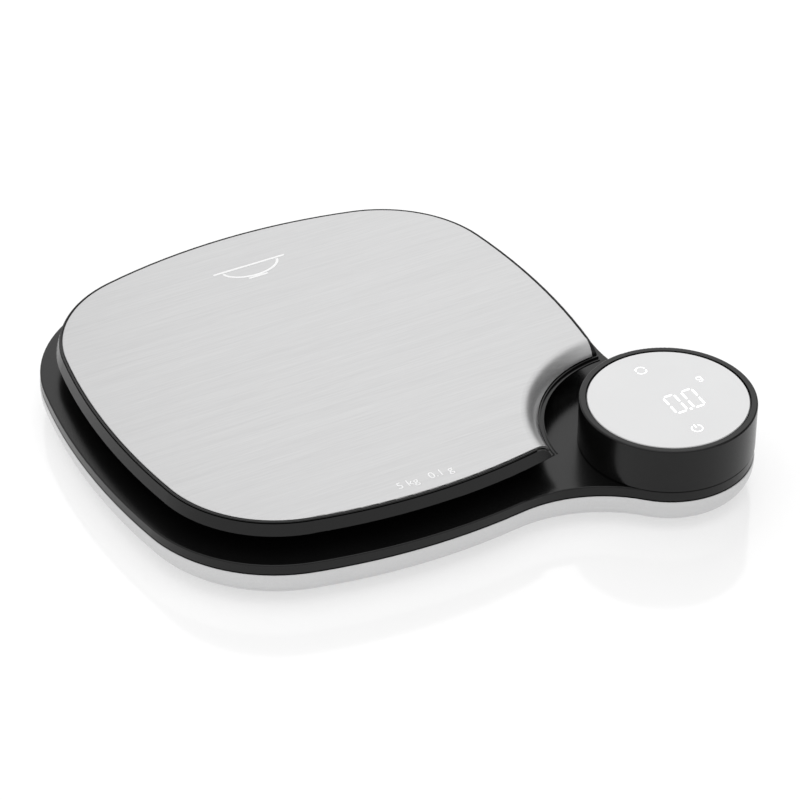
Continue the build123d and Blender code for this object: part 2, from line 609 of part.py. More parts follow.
def cell_base_plate():
    """Steel plate between the tray's pad and the load cell's fixed end."""
    edge = CELL_HOLES[1] - CELL_FIRST_HOLE
    body = block(-CELL_LENGTH / 2, -edge, -CELL_SIDE + 1, CELL_SIDE - 1, Z_CELL - CELL_SEAT_THICK, Z_CELL)
    for point in FIXED_BOLTS:
        body -= rod(point, BOLT_RADIUS + 0.2, Z_FLOOR, Z_CELL + 1)
    return body


def cell_screws():
    """Two machine screws up through the tray into the load cell's fixed end."""
    start = Z_UNDER + 0.1
    return [screw(p, BOLT_HEAD_RADIUS, BOLT_HEAD_HEIGHT, BOLT_RADIUS, start, Z_CELL + 8)
            for p in FIXED_BOLTS]


def gauge_sites():
    """Centre X, and level of the outer face, of the four strain gauges."""
    return [(side * FLEXURE_PITCH / 2, level, way)
            for side in (-1, 1) for level, way in ((Z_CELL, -1), (Z_CELL_TOP, 1))]


def strain_gauges():
    """Four foil gauges over the thin webs of the load cell."""
    gauges = []
    for x, level, way in gauge_sites():
        gauges.append(Pos(x, 0, level + way * GAUGE_THICK / 2)
                      * Box(GAUGE_LENGTH, GAUGE_WIDTH, GAUGE_THICK))
    return gauges


def gauge_coating():
    """Silicone over the gauges, and the terminal patch on the load cell's side."""
    inner = GAUGE_THICK
    length = FLEXURE_PITCH + GAUGE_LENGTH + 4
    pads = []
    for level, way in ((Z_CELL, -1), (Z_CELL_TOP, 1)):
        pad = Pos(0, 0, level + way * COATING_THICK / 2) * Box(length, CELL_SIDE - 3, COATING_THICK)
        for side in (-1, 1):
            pad -= Pos(side * FLEXURE_PITCH / 2, 0, level + way * inner / 2) * Box(
                GAUGE_LENGTH, GAUGE_WIDTH, inner)
        pads.append(pad)
    z_mid = Z_CELL + CELL_SIDE / 2
    pads.append(block(15, 25, -CELL_SIDE / 2 - 1, -CELL_SIDE / 2, z_mid - 3, z_mid + 3))
    return pads


def tube_along(points, radius, bend):
    """Round wire along straight runs joined by arcs."""
    path = FilletPolyline(*points, radius=bend)
    return sweep(Plane(path ^ 0) * Circle(radius), path=path)


def cell_wires():
    """Four fine wires from the load cell's terminal patch to the main board."""
    wires = []
    y_start = -CELL_SIDE / 2 - 1
    z_wire = Z_CELL + CELL_SIDE / 2
    for n in range(4):
        x_start = 16.7 + 2.2 * n
        y_turn = -27.0 + 2.2 * n
        x_end = MAIN_BOARD_CENTRE[0] - MAIN_BOARD[0] / 2 + 7
        points = [(x_start, y_start, z_wire), (x_start, y_turn, z_wire),
                  (x_end, y_turn, z_wire), (x_end, y_turn, Z_BOARD_TOP)]
        wires.append(tube_along(points, WIRE_RADIUS, 1.8))
    return wires


def overload_stops():
    """Set screws in the deck that catch the bracket if the platform is overloaded."""
    return [rod(p, 2.6, Z_DECK, Z_BRACKET - STOP_GAP) + rod(p, SCREW_RADIUS, Z_DECK_UNDER - 1.5, Z_DECK)
            for p in STOPS]


def main_board():
    """Measuring circuit board on four posts."""
    cx, cy = MAIN_BOARD_CENTRE
    board = prism(Pos(cx, cy) * RectangleRounded(*MAIN_BOARD, 1.5), Z_BOARD, Z_BOARD_TOP)
    for point in board_posts():
        board -= rod(point, SCREW_RADIUS * 0.7 + 0.2, Z_BOARD - 1, Z_BOARD_TOP + 1)
    return board


def main_board_chips():
    """Converter, controller, crystal and ribbon socket on the main board."""
    cx, cy = MAIN_BOARD_CENTRE
    chips = [
        block(cx - 14, cx - 5, cy - 4.5, cy + 4.5, Z_BOARD_TOP, Z_BOARD_TOP + 1.4),
        block(cx + 1, cx + 11, cy - 5, cy + 5, Z_BOARD_TOP, Z_BOARD_TOP + 1.2),
        Pos(cx - 1, cy + 8.5, Z_BOARD_TOP + 1.5) * Rot(0, 90, 0) * Cylinder(1.5, 7),
    ]
    y_edge = cy - MAIN_BOARD[1] / 2
    chips.append(block(RIBBON_X - RIBBON_WIDTH / 2 - 0.8, RIBBON_X + RIBBON_WIDTH / 2 + 0.8,
                       y_edge, y_edge + 5, Z_BOARD_TOP, Z_BOARD_TOP + 3))
    return chips


def main_board_screws():
    """Four small screws through the main board into its posts."""
    top = Z_BOARD_TOP + 1.0
    return [screw(p, 2.0, 1.0, SCREW_RADIUS * 0.7, top, Z_FLOOR + 0.4) for p in board_posts()]


# ---- batteries ----------------------------------------------------------------------------------
def battery_cells():
    """Two AAA cells, laid head to tail."""
    cells = []
    for y, way in BATTERY_ROWS:
        can = AAA_LENGTH - AAA_NUB_LENGTH
        tip = way * (BAY_HALF_X - CONTACT_THICK)
        centre = tip - way * (AAA_NUB_LENGTH + can / 2)
        body = Pos(centre, y, Z_BATTERY) * Rot(0, 90, 0) * Cylinder(AAA_RADIUS, can)
        body = fillet(body.edges(), 0.5)
        nub = Pos(tip - way * (AAA_NUB_LENGTH / 2 + 0.05), y, Z_BATTERY) * Rot(0, 90, 0)
        cells.append(body + nub * Cylinder(AAA_NUB_RADIUS, AAA_NUB_LENGTH + 0.1))
    return cells


def battery_contacts():
    """Plated steel plates at the cells' positive ends."""
    plates = []
    for y, way in BATTERY_ROWS:
        x = way * (BAY_HALF_X - CONTACT_THICK / 2)
        plates.append(Pos(x, y, Z_BATTERY) * Box(CONTACT_THICK, CONTACT_SIDE, CONTACT_SIDE))
    return plates


def battery_springs():
    """Bent leaf springs that press on the cells' negative ends."""
    leaves = []
    half, reach, thick = CONTACT_SIDE / 2, SPRING_LENGTH, 0.4
    for y, way in BATTERY_ROWS:
        wall = -way * BAY_HALF_X
        fold = [(0, -half), (thick, -half), (thick, half - 3 * thick), (reach - thick, thick),
                (reach - thick, -2 * thick), (reach, -2 * thick), (reach, 2 * thick),
                (thick, half), (0, half)]
        outline = Polyline(*[(wall + way * u, v) for u, v in fold], close=True)
        leaf = extrude(Plane.XZ * make_face(outline), amount=CONTACT_SIDE / 2, both=True)
        leaves.append(Pos(0, y, Z_BATTERY) * leaf)
    return leaves


def battery_leads():
    """Two wires from the battery bay round the load cell to the main board."""
    leads = []
    x_start = BAY_HALF_X + BAY_WALL
    y_end = MAIN_BOARD_CENTRE[1] + MAIN_BOARD[1] / 2 - 3
    board_edge = MAIN_BOARD_CENTRE[0] - MAIN_BOARD[0] / 2
    x_first = max(CELL_LENGTH / 2 + LEAD_CLEAR, board_edge + LEAD_ALONG_BOARD)
    for n in (0, 1):
        x_turn, y_start = x_first + LEAD_PITCH * n, BAY_Y - 3 + LEAD_PITCH * n
        points = [(x_start, y_start, Z_BATTERY), (x_turn, y_start, Z_BATTERY),
                  (x_turn, y_end, Z_BATTERY + 2), (x_turn, y_end, Z_BOARD_TOP)]
        leads.append(tube_along(points, LEAD_RADIUS, 2.0))
    return leads


def battery_door():
    """Door that hooks into the tray on two tabs and snaps shut with a springy tongue."""
    half_x, free = BAY_HALF_X - DOOR_CLEAR, BAY_Y + DOOR_HALF_Y - DOOR_CLEAR
    body = block(-half_x, half_x, HINGE_Y, free, Z_UNDER, Z_DOOR_TOP)
    z_tab = Z_FLOOR + 0.15
    for x in (-half_x * 0.6, half_x * 0.6):
        x0, x1 = x - DOOR_TAB_WIDTH / 2, x + DOOR_TAB_WIDTH / 2
        body += block(x0, x1, HINGE_Y, HINGE_Y + 1.5, Z_UNDER, z_tab + 1)
        body += block(x0, x1, HINGE_Y - DOOR_TAB_REACH, HINGE_Y + 1.5, z_tab, z_tab + 1)
    for x in (-7.0, 7.0):
        body -= block(x - 0.5, x + 0.5, free - 7, free + 1, Z_UNDER - 1, Z_DOOR_TOP + 1)
    body += block(-6.0, 6.0, free - 1.3, free - 0.2, Z_DOOR_TOP, Z_FLOOR + 0.8)
    dish = Pos(0, free - 4.5, Z_UNDER - 4.6) * Sphere(5.4)
    return body - dish


def door_pad():
    """Thin foam on the door that keeps the cells from rattling."""
    return block(-BAY_HALF_X * 0.6, BAY_HALF_X * 0.6, HINGE_Y + 3, BAY_Y + DOOR_HALF_Y - 9,
                 Z_DOOR_TOP, Z_DOOR_TOP + DOOR_PAD_THICK)


# ---- display head -------------------------------------------------------------------------------
def head_shell():
    """Round black shell of the head, with the lens ledge and screw bosses."""
    centre = (HEAD_X, HEAD_Y)
    inner = HEAD_RADIUS - HEAD_WALL
    body = rod(centre, HEAD_RADIUS, Z_DECK, Z_HEAD)
    body = fillet(body.edges().group_by(Axis.Z)[-1], HEAD_EDGE)
    reveal = rod(centre, HEAD_RADIUS + 1, Z_DECK, Z_DECK + REVEAL_HEIGHT)
    body -= reveal - rod(centre, HEAD_RADIUS - REVEAL_DEPTH, Z_DECK, Z_DECK + REVEAL_HEIGHT)
    body -= rod(centre, LENS_RADIUS + LENS_GAP, Z_LEDGE, Z_HEAD + 1)
    body -= rod(centre, LENS_RADIUS - LEDGE_WIDTH, Z_DECK, Z_HEAD)
    body -= rod(centre, inner, Z_DECK - 1, Z_LEDGE - LEDGE_THICK)
    for point in HEAD_SCREWS + DISPLAY_SCREWS:
        body += rod(point, SCREW_RADIUS + BOSS_WALL, Z_DECK, Z_HEAD_BOSS)
        web = block(HEAD_SCREW_REACH, inner + 0.5, -RIB_THICK, RIB_THICK, Z_DECK, Z_HEAD_BOSS)
        body += Pos(HEAD_X, HEAD_Y, 0) * Rot(0, 0, bearing(centre, point)) * web
    for point in HEAD_SCREWS:
        body -= rod(point, SCREW_RADIUS + FIT_CLEAR, Z_DECK - 1, Z_HEAD_BOSS - 1)
    for point in DISPLAY_SCREWS:
        body -= rod(point, SCREW_RADIUS * 0.7 + FIT_CLEAR, Z_HEAD_BOSS - 4, Z_HEAD_BOSS + 1)
    return body


def display_lens():
    """Half-mirrored acrylic disc."""
    lens = rod((HEAD_X, HEAD_Y), LENS_RADIUS, Z_LENS - LENS_THICK, Z_LENS)
    return chamfer(lens.edges().group_by(Axis.Z)[-1], LENS_EDGE)


def lens_tape():
    """Ring of tape under the lens."""
    centre = (HEAD_X, HEAD_Y)
    ring = rod(centre, LENS_RADIUS - 0.2, Z_LEDGE, Z_LENS - LENS_THICK)
    return ring - rod(centre, LENS_RADIUS - LEDGE_WIDTH + 0.1, Z_LEDGE - 1, Z_LENS)


def light_mask():
    """Black mask with a window for each figure and each key."""
    centre = (HEAD_X, HEAD_Y)
    mask = rod(centre, LENS_RADIUS - LEDGE_WIDTH - 0.2, Z_LED, Z_LED + MASK_THICK)
    for n in range(5):
        x = HEAD_X - 16 + 8 * n
        mask -= block(x - 2.8, x + 2.8, HEAD_Y - 10, HEAD_Y + 4, Z_LED - 1, Z_MASK + 1)
    for y in (-TOUCH_OFFSET, TOUCH_OFFSET):
        mask -= rod((HEAD_X, HEAD_Y + y), TOUCH_RADIUS + FIT_CLEAR, Z_LED - 1, Z_MASK + 1)
    return mask


def led_display():
    """White seven-segment module."""
    x0, y0 = HEAD_X - LED_LENGTH / 2, HEAD_Y - 3 - LED_WIDTH / 2
    return block(x0, x0 + LED_LENGTH, y0, y0 + LED_WIDTH, Z_DISPLAY_BOARD, Z_LED)


def display_board():
    """Round circuit board that carries the display and touch pads."""
    centre = (HEAD_X, HEAD_Y)
    board = rod(centre, HEAD_RADIUS - HEAD_WALL - BOARD_GAP, Z_HEAD_BOSS, Z_DISPLAY_BOARD)
    for point in DISPLAY_SCREWS:
        board -= rod(point, SCREW_RADIUS * 0.7 + 0.2, Z_HEAD_BOSS - 1, Z_DISPLAY_BOARD + 1)
    return board


def display_driver():
    """Display driver, touch chip and ribbon socket under the display board."""
    return [
        block(HEAD_X - 5, HEAD_X + 5, HEAD_Y - 9, HEAD_Y + 1, Z_HEAD_BOSS - 1.4, Z_HEAD_BOSS),
        block(HEAD_X + 8, HEAD_X + 13, HEAD_Y + 4, HEAD_Y + 9, Z_HEAD_BOSS - 1.2, Z_HEAD_BOSS),
        block(RIBBON_X - RIBBON_WIDTH / 2 - 0.8, RIBBON_X + RIBBON_WIDTH / 2 + 0.8,
              RIBBON_Y - 2, RIBBON_Y + 2, Z_HEAD_BOSS - 2, Z_HEAD_BOSS),
    ]


def touch_pads():
    """Conductive foam posts from the display board to the lens under the two touch keys."""
    return [rod((HEAD_X, HEAD_Y + y), TOUCH_RADIUS, Z_DISPLAY_BOARD, Z_LENS - LENS_THICK)
            for y in (-TOUCH_OFFSET, TOUCH_OFFSET)]


def display_board_screws():
    """Three small screws through the display board into the head's bosses."""
    top = Z_DISPLAY_BOARD + 1.0
    return [screw(p, 2.0, 1.0, SCREW_RADIUS * 0.7, top, Z_HEAD_BOSS - 3.5) for p in DISPLAY_SCREWS]


def head_screws():
    """Three screws up through the deck into the head's bosses."""
    start = Z_DECK_UNDER - SCREW_HEAD_HEIGHT
    return [screw(p, SCREW_HEAD_RADIUS, SCREW_HEAD_HEIGHT, SCREW_RADIUS, start, Z_HEAD_BOSS - 1.5)
            for p in HEAD_SCREWS]


def ribbon_cable():
    """Flat cable from the display board down through the deck to the main board."""
    y_end = MAIN_BOARD_CENTRE[1] - MAIN_BOARD[1] / 2
    z_run = Z_BOARD_TOP + 1.6
    path = FilletPolyline((RIBBON_X, RIBBON_Y, Z_HEAD_BOSS - 2), (RIBBON_X, RIBBON_Y, z_run),
                          (RIBBON_X, y_end, z_run), radius=RIBBON_BEND)
    section = Plane(origin=path @ 0, x_dir=(1, 0, 0), z_dir=path % 0)
    return sweep(section * Rectangle(RIBBON_WIDTH, RIBBON_THICK), path=path)


PIECES = [
    platform_plate, plate_adhesive, platform_carrier, load_bracket, bracket_spacer, bracket_screws,
    carrier_screws, upper_housing, lower_housing, housing_screws, rubber_feet, load_cell,
    cell_base_plate, cell_screws, strain_gauges, gauge_coating, cell_wires, overload_stops,
    main_board, main_board_chips, main_board_screws, battery_cells, battery_contacts,
    battery_springs, battery_leads, battery_door, door_pad, head_shell, display_lens, lens_tape,
    light_mask, led_display, display_board, display_driver, touch_pads, display_board_screws,
    head_screws, ribbon_cable,
]


def main():
    """Write every piece, shifted so that the footprint's centre is the origin."""
    os.makedirs("parts", exist_ok=True)
    to_footprint = Pos(-FOOTPRINT_X, -FOOTPRINT_Y, 0)
    for piece in PIECES:
        made = piece()
        solids = made if isinstance(made, list) else [made]
        shape = Compound([s for group in solids for s in (to_footprint * group).solids()])
        export_step(shape, f"parts/{piece.__name__}.step")


main()
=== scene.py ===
from math import cos, radians, sin

import bmesh
import bpy
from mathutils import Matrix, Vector


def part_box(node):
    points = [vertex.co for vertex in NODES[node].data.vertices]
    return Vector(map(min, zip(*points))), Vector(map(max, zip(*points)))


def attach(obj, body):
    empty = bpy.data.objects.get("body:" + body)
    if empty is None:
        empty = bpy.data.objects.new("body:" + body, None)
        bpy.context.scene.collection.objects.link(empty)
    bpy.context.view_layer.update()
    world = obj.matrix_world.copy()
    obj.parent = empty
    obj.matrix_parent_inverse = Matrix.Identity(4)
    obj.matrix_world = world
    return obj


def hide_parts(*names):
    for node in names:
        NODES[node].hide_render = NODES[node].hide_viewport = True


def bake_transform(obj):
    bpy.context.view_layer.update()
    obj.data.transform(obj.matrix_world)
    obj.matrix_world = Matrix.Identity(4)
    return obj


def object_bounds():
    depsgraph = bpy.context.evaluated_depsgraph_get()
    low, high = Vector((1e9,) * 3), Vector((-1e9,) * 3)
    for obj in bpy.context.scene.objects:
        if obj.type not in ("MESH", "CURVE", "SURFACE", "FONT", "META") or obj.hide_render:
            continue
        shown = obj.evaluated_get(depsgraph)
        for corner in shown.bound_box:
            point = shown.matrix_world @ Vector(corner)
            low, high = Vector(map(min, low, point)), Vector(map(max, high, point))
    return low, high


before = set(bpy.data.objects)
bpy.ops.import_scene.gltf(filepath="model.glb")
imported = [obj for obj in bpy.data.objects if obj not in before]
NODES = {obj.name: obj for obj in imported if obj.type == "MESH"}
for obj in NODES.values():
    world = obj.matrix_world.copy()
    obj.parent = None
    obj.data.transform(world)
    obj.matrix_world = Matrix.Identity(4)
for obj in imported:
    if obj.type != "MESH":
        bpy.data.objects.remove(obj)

cad_low, cad_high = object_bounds()
MM = 0.001

# ---- places taken from the frame ----------------------------------------------------------------
plate_low, plate_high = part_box("platform_plate")
PLATE_X = (plate_low.x + plate_high.x) / 2
PLATE_Y = (plate_low.y + plate_high.y) / 2
Z_STEEL = plate_high.z
lens_low, lens_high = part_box("display_lens")
HEAD_X = (lens_low.x + lens_high.x) / 2
HEAD_Y = (lens_low.y + lens_high.y) / 2
Z_LENS = lens_high.z


# ---- camera, floor and light, in metres and watts -----------------------------------------------
CAMERA_ELEVATION = radians(36.122)
CAMERA_AZIMUTH = radians(-28.622)
CAMERA_DISTANCE = 1.2258
CAMERA_LENS = 153.4
CAMERA_SENSOR = 36.0
CAMERA_CLIP = (0.05, 20.0)
CAMERA_AIM = Vector((PLATE_X + 8.77 * MM, PLATE_Y - 36.49 * MM, Z_STEEL))

# The flag fades in between two cosines of the angle from its middle.
FLAG_WAY = Vector((0.94, 0.08, 0.33))
FLAG_EDGE = 0.70
FLAG_CORE = 0.93
FLAG_LEVEL = 0.22
SKY_LEVEL = 0.8

LIGHT_AIM = Vector((0, 0, 0))
OVERHEAD_PLACE = (0, 0, 1.5)
OVERHEAD_SIZE = (1.4, 1.4)
OVERHEAD_POWER = 6.0
BACK_PLACE = (0.78, 1.1, 0.95)
BACK_SIZE = (1.1, 0.9)
BACK_POWER = 2.3

FLOOR_SIZE = 12.0
FLOOR_GLOW = 0.45


def make_camera():
    """Camera at the photograph's angle."""
    data = bpy.data.cameras.new("camera")
    data.sensor_width = CAMERA_SENSOR
    data.lens = CAMERA_LENS
    data.clip_start, data.clip_end = CAMERA_CLIP
    camera = bpy.data.objects.new("camera", data)
    bpy.context.scene.collection.objects.link(camera)
    level = cos(CAMERA_ELEVATION)
    back = Vector((sin(CAMERA_AZIMUTH) * level, -cos(CAMERA_AZIMUTH) * level,
                   sin(CAMERA_ELEVATION)))
    camera.location = CAMERA_AIM + back * CAMERA_DISTANCE
    camera.rotation_mode = "QUATERNION"
    camera.rotation_quaternion = (-back).to_track_quat("-Z", "Y")
    bpy.context.scene.camera = camera


def area_light(name, place, size, power):
    """Rectangular softbox at a place, turned to the middle of the object."""
    data = bpy.data.lights.new(name, "AREA")
    data.shape = "RECTANGLE"
    data.size, data.size_y = size
    data.energy = power
    light = bpy.data.objects.new(name, data)
    bpy.context.scene.collection.objects.link(light)
    light.location = place
    light.rotation_mode = "QUATERNION"
    light.rotation_quaternion = (LIGHT_AIM - Vector(place)).to_track_quat("-Z", "Y")


def make_world():
    """Even pale surroundings with one soft dark flag, low on the object's right."""
    world = bpy.data.worlds.new("studio")
    world.use_nodes = True
    tree = world.node_tree
    place = tree.nodes.new("ShaderNodeTexCoord")
    facing = tree.nodes.new("ShaderNodeVectorMath")
    facing.operation = "DOT_PRODUCT"
    tree.links.new(place.outputs["Generated"], facing.inputs[0])
    facing.inputs[1].default_value = FLAG_WAY.normalized()
    ramp = tree.nodes.new("ShaderNodeMapRange")
    ramp.interpolation_type = "SMOOTHSTEP"
    tree.links.new(facing.outputs["Value"], ramp.inputs["Value"])
    ramp.inputs["From Min"].default_value = FLAG_EDGE
    ramp.inputs["From Max"].default_value = FLAG_CORE
    ramp.inputs["To Min"].default_value = SKY_LEVEL
    ramp.inputs["To Max"].default_value = FLAG_LEVEL
    background = tree.nodes["Background"]
    background.inputs["Color"].default_value = (1.0, 1.0, 1.0, 1.0)
    tree.links.new(ramp.outputs["Result"], background.inputs["Strength"])
    bpy.context.scene.world = world


def make_studio():
    """Pale floor, soft surroundings and two softboxes."""
    bpy.context.scene.view_settings.view_transform = "Standard"
    make_world()
    area_light("overhead", OVERHEAD_PLACE, OVERHEAD_SIZE, OVERHEAD_POWER)
    area_light("back", BACK_PLACE, BACK_SIZE, BACK_POWER)
    bpy.ops.mesh.primitive_grid_add(x_subdivisions=2, y_subdivisions=2, size=FLOOR_SIZE,
                                    location=(0, 0, cad_low.z))
    floor = bpy.context.object
    floor.name = "floor"
    floor.data.materials.append(floor_material())


# ---- materials ----------------------------------------------------------------------------------
# Most of a noise texture's values lie between these two.
NOISE_LOW = 0.3
NOISE_HIGH = 0.7


class Shader:
    """Small helper that builds a material round one Principled shader."""

    def __init__(self, name, **sockets):
        self.material = bpy.data.materials.new(name)
        self.material.use_nodes = True
        self.tree = self.material.node_tree
        self.surface = self.tree.nodes["Principled BSDF"]
        for key, value in sockets.items():
            self.surface.inputs[key.replace("_", " ")].default_value = value

    def node(self, kind, **inputs):
        """Add a node and set its inputs by name, as values or as other nodes' outputs."""
        made = self.tree.nodes.new(kind)
        for key, value in inputs.items():
            self.feed(made.inputs[key.replace("_", " ")], value)
        return made

    def feed(self, socket, value):
        """Set a socket to a value or link it to an output."""
        if isinstance(value, bpy.types.NodeSocket):
            self.tree.links.new(value, socket)
        else:
            socket.default_value = value

    def noise(self, scale, stretch=(1, 1, 1), detail=4.0, roughness=0.6):
        """Noise over the object's own coordinates, in metres, stretched along its axes."""
        place = self.tree.nodes.new("ShaderNodeTexCoord")
        mapping = self.tree.nodes.new("ShaderNodeMapping")
        mapping.inputs["Scale"].default_value = stretch
        self.tree.links.new(place.outputs["Object"], mapping.inputs["Vector"])
        return self.node("ShaderNodeTexNoise", Vector=mapping.outputs["Vector"], Scale=scale,
                         Detail=detail, Roughness=roughness).outputs["Fac"]

    def spread(self, value, low, high):
        """Map a noise value on to a range of numbers."""
        return self.node("ShaderNodeMapRange", Value=value, From_Min=NOISE_LOW,
                         From_Max=NOISE_HIGH, To_Min=low, To_Max=high).outputs["Result"]

    def shade(self, value, dark, light):
        """Map a noise value on to a range of colours."""
        mix = self.tree.nodes.new("ShaderNodeMix")
        mix.data_type = "RGBA"
        factor, first, second, result = (mix.inputs[0], mix.inputs[6], mix.inputs[7],
                                         mix.outputs[2])
        self.feed(factor, self.spread(value, 0.0, 1.0))
        first.default_value = (*dark, 1.0)
        second.default_value = (*light, 1.0)
        return result

    def bump(self, height, strength, distance):
        """Bump the surface by a height value."""
        made = self.node("ShaderNodeBump", Height=height, Strength=strength, Distance=distance)
        self.tree.links.new(made.outputs["Normal"], self.surface.inputs["Normal"])

    def set(self, key, value):
        """Feed one of the surface's sockets."""
        self.feed(self.surface.inputs[key], value)


def floor_material():
    """White acrylic table with a faint gloss, lit softly from below."""
    made = Shader("studio_floor", Roughness=0.1, Specular_IOR_Level=0.4,
                  Emission_Strength=FLOOR_GLOW)
    cloud = made.noise(scale=3.0)
    made.set("Base Color", made.shade(cloud, dark=(0.56, 0.56, 0.56), light=(0.58, 0.58, 0.58)))
    made.set("Emission Color", (1.0, 1.0, 1.0, 1.0))
    return made.material


def brushed_steel():
    """Stainless steel brushed along the object's width."""
    made = Shader("brushed_steel", Metallic=1.0)
    fine = made.noise(scale=1500.0, stretch=(0.03, 1.0, 1.0), detail=5.0, roughness=0.7)
    broad = made.noise(scale=240.0, stretch=(0.04, 1.0, 1.0), detail=3.0)
    blend = made.node("ShaderNodeMix", Factor=0.25)
    made.feed(blend.inputs["A"], fine)
    made.feed(blend.inputs["B"], broad)
    streaks = blend.outputs["Result"]
    made.set("Base Color", made.shade(streaks, dark=(0.47, 0.47, 0.472),
                                      light=(0.57, 0.57, 0.572)))
    made.set("Roughness", made.spread(streaks, low=0.32, high=0.40))
    made.bump(fine, strength=0.12, distance=0.0001)
    return made.material


def satin_black():
    """Black ABS with a fine spark-eroded grain."""
    made = Shader("satin_black", Specular_IOR_Level=0.29)
    grain = made.noise(scale=2600.0, detail=2.0)
    cloud = made.noise(scale=40.0)
    made.set("Base Color", made.shade(cloud, dark=(0.003, 0.003, 0.003),
                                      light=(0.00375, 0.00375, 0.00375)))
    made.set("Roughness", made.spread(grain, low=0.19, high=0.27))
    made.bump(grain, strength=0.10, distance=0.00006)
    return made.material


def silver_paint():
    """Satin silver paint on plastic."""
    made = Shader("silver_paint", Metallic=0.8, Coat_Weight=0.15, Coat_Roughness=0.2)
    flake = made.noise(scale=3500.0, detail=2.0)
    made.set("Base Color", made.shade(flake, dark=(0.58, 0.58, 0.583), light=(0.66, 0.66, 0.663)))
    made.set("Roughness", made.spread(flake, low=0.30, high=0.38))
    made.bump(flake, strength=0.06, distance=0.00005)
    return made.material


def mirror_lens():
    """Half-mirrored acrylic face."""
    made = Shader("mirror_lens", Metallic=0.4, Coat_Weight=0.4, Coat_Roughness=0.03)
    cloud = made.noise(scale=25.0)
    made.set("Base Color", made.shade(cloud, dark=(0.60, 0.60, 0.603), light=(0.62, 0.62, 0.623)))
    made.set("Roughness", made.spread(cloud, low=0.10, high=0.13))
    return made.material


def lit_mark():
    """White light through the lens."""
    made = Shader("lit_mark", Roughness=0.4, Emission_Strength=1.0)
    glow = made.shade(made.noise(scale=300.0), dark=(0.96, 0.97, 1.0), light=(1.0, 1.0, 1.0))
    made.set("Base Color", glow)
    made.set("Emission Color", glow)
    return made.material


def white_print():
    """White ink printed on the steel."""
    made = Shader("white_print", Roughness=0.45)
    ink = made.shade(made.noise(scale=900.0), dark=(0.92, 0.92, 0.92), light=(0.99, 0.99, 0.99))
    made.set("Base Color", ink)
    return made.material


# Plain finishes: two colours, range of roughness, metalness, strength of the grain, and the nodes.
PLAIN_SCALE = 200.0
PLAIN_GRAIN_SCALE = 1600.0
PLAIN_FINISHES = (
    ("zinc_plate", (0.48, 0.48, 0.47), (0.60, 0.60, 0.59), (0.3, 0.42), 1.0, 0.05,
     ("load_bracket", "cell_base_plate")),
    ("plated_screw", (0.55, 0.55, 0.56), (0.68, 0.68, 0.69), (0.2, 0.3), 1.0, 0.05,
     ("bracket_screws", "carrier_screws", "housing_screws", "cell_screws", "overload_stops",
      "main_board_screws", "display_board_screws", "head_screws")),
    ("machined_aluminium", (0.70, 0.71, 0.72), (0.80, 0.81, 0.82), (0.25, 0.38), 1.0, 0.05,
     ("load_cell", "bracket_spacer")),
    ("nickel", (0.66, 0.64, 0.60), (0.76, 0.74, 0.70), (0.15, 0.25), 1.0, 0.05,
     ("battery_contacts", "battery_springs")),
    ("foot_rubber", (0.025, 0.025, 0.025), (0.04, 0.04, 0.04), (0.75, 0.9), 0.0, 0.05,
     ("rubber_feet",)),
    ("circuit_board", (0.01, 0.09, 0.03), (0.02, 0.14, 0.05), (0.3, 0.4), 0.0, 0.05,
     ("main_board", "display_board")),
    ("chip_black", (0.012, 0.012, 0.013), (0.02, 0.02, 0.022), (0.45, 0.6), 0.0, 0.05,
     ("main_board_chips", "display_driver", "light_mask")),
    ("battery_wrap", (0.05, 0.06, 0.08), (0.08, 0.09, 0.11), (0.2, 0.3), 0.0, 0.05,
     ("battery_cells",)),
    ("white_silicone", (0.75, 0.75, 0.74), (0.85, 0.85, 0.84), (0.5, 0.6), 0.0, 0.05,
     ("gauge_coating",)),
    ("gauge_foil", (0.55, 0.30, 0.10), (0.65, 0.38, 0.14), (0.3, 0.4), 0.0, 0.05,
     ("strain_gauges",)),
    ("wire_cover", (0.45, 0.03, 0.02), (0.55, 0.05, 0.03), (0.4, 0.5), 0.0, 0.05,
     ("cell_wires",)),
    ("lead_cover", (0.03, 0.03, 0.035), (0.05, 0.05, 0.055), (0.4, 0.5), 0.0, 0.05,
     ("battery_leads",)),
    ("adhesive", (0.70, 0.70, 0.62), (0.80, 0.80, 0.72), (0.5, 0.6), 0.0, 0.05,
     ("plate_adhesive",)),
    ("foam", (0.03, 0.03, 0.03), (0.06, 0.06, 0.06), (0.85, 0.95), 0.0, 0.5,
     ("door_pad", "touch_pads")),
    ("tape", (0.04, 0.04, 0.04), (0.06, 0.06, 0.06), (0.6, 0.7), 0.0, 0.05,
     ("lens_tape",)),
    ("led_module", (0.70, 0.70, 0.70), (0.80, 0.80, 0.80), (0.25, 0.35), 0.0, 0.05,
     ("led_display",)),
    ("ribbon", (0.62, 0.62, 0.64), (0.72, 0.72, 0.74), (0.35, 0.45), 0.0, 0.05,
     ("ribbon_cable",)),
)


def plain(name, dark, light, rough, metallic, grain):
    """Simple solid material with a little variation in colour, gloss and surface."""
    made = Shader(name, Metallic=metallic)
    cloud = made.noise(scale=PLAIN_SCALE)
    made.set("Base Color", made.shade(cloud, dark, light))
    made.set("Roughness", made.spread(cloud, *rough))
    made.bump(made.noise(scale=PLAIN_GRAIN_SCALE), strength=grain, distance=0.00005)
    return made.material


def give(material, *nodes):
    """Put a material on CAD nodes."""
    for node in nodes:
        mesh = NODES[node].data
        mesh.materials.clear()
        mesh.materials.append(material)


def finish_cad_nodes():
    """Material of every CAD node."""
    give(brushed_steel(), "platform_plate")
    give(satin_black(), "platform_carrier", "upper_housing", "head_shell")
    give(silver_paint(), "lower_housing", "battery_door")
    give(mirror_lens(), "display_lens")
    for *finish, nodes in PLAIN_FINISHES:
        give(plain(*finish), *nodes)


